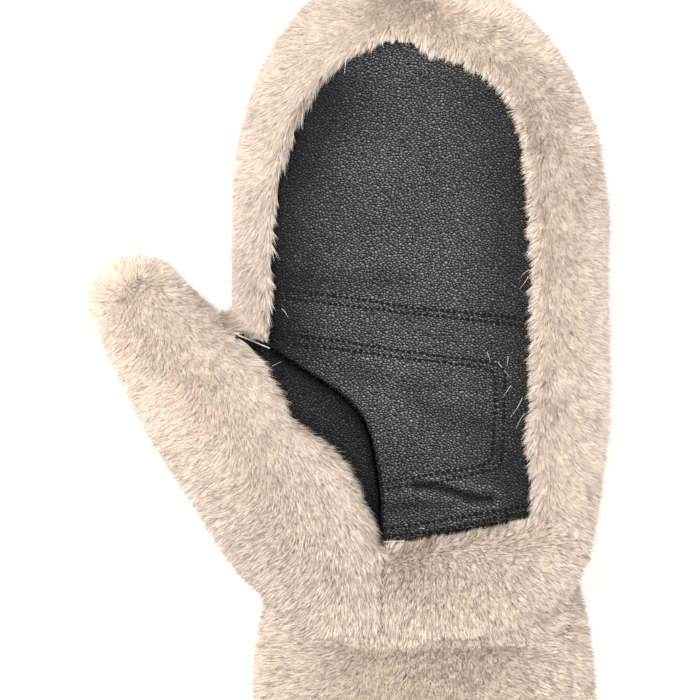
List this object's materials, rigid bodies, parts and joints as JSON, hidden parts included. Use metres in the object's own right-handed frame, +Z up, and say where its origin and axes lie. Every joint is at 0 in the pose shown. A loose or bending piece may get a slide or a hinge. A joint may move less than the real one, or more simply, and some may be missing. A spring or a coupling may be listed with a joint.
{
  "type": "plush mitten with leather palm",
  "caption": "Hollow plush mitten lying palm up, with a set-in grained leather palm, a leather strip inside the thumb, and a pile cuff below a gathered wrist.",
  "frame": {"origin": "middle of the mitten's plan box, on the surface that its back lies on", "axes": "+Y from the cuff to the fingertips, +Z up through the palm, and the thumb on the -X side"},
  "size_m": [0.175, 0.269, 0.054],
  "materials": {
    "pile": "deep soft plush pile, cream with taupe shading",
    "leather": "black pebble grain, semi-matte"
  },
  "bodies": {
    "root": {"back_fur": "pile", "palm_leather": "leather", "thumb_leather": "leather", "thumb_fur": "pile", "heel_fur": "pile", "cuff_fur": "pile"}
  },
  "joints": []
}
